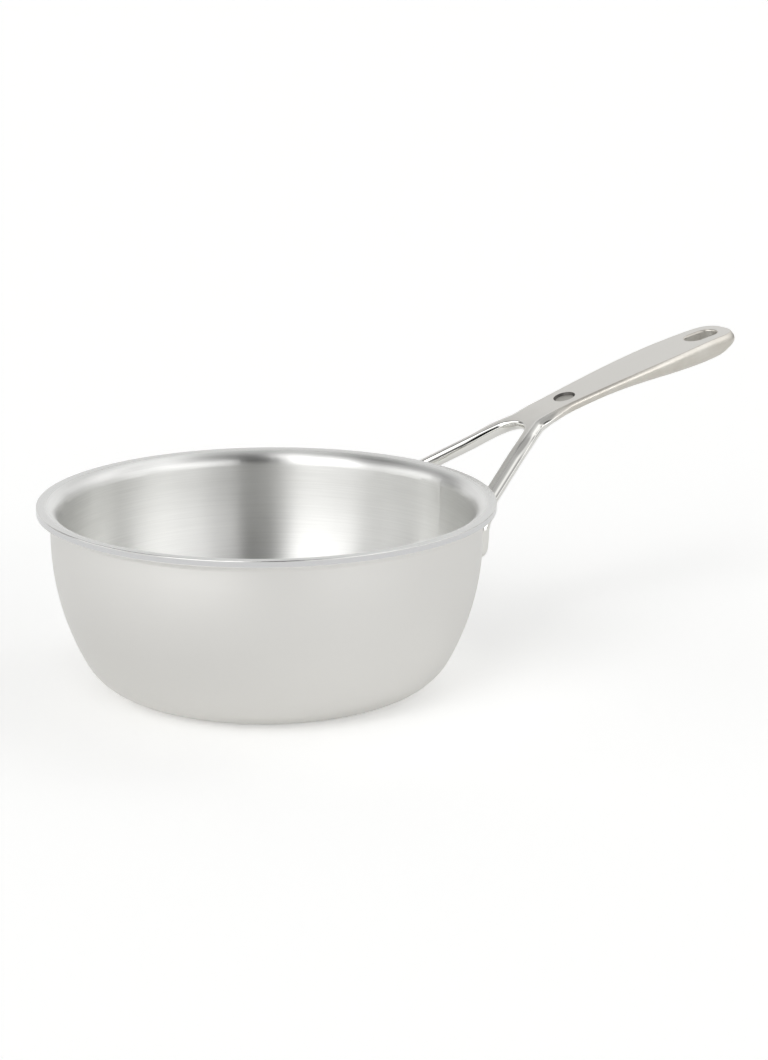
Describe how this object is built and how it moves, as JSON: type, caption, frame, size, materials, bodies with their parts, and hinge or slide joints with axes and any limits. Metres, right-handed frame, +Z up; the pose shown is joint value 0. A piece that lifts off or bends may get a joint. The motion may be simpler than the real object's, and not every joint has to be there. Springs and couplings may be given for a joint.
{
  "type": "saucier pan",
  "caption": "Round-bottomed stainless saucier pan with a flared pouring lip and a long forked cast handle with a hang slot.",
  "frame": {"origin": "centre of the flat base, on its underside", "axes": "+Z up through the mouth, +X out along the handle, +Y to the left of someone who holds the handle and faces the pan"},
  "size_m": [0.3931, 0.22, 0.1447],
  "materials": {
    "brushed_inside": "fine circular brushing",
    "satin_outside": "even satin",
    "bond": "polished where it shows in the lip's cut edge",
    "core": "polished where it shows in the lip's cut edge",
    "cast_handle": "satin flat top, mirror-polished sides and underside",
    "weld": "fused, as welded"
  },
  "bodies": {
    "root": {"inner_ply": "brushed_inside", "inner_bond_layer": "bond", "aluminium_core": "core", "outer_bond_layer": "bond", "outer_ply": "satin_outside", "handle": "cast_handle", "left_weld": "weld", "right_weld": "weld"}
  },
  "joints": []
}
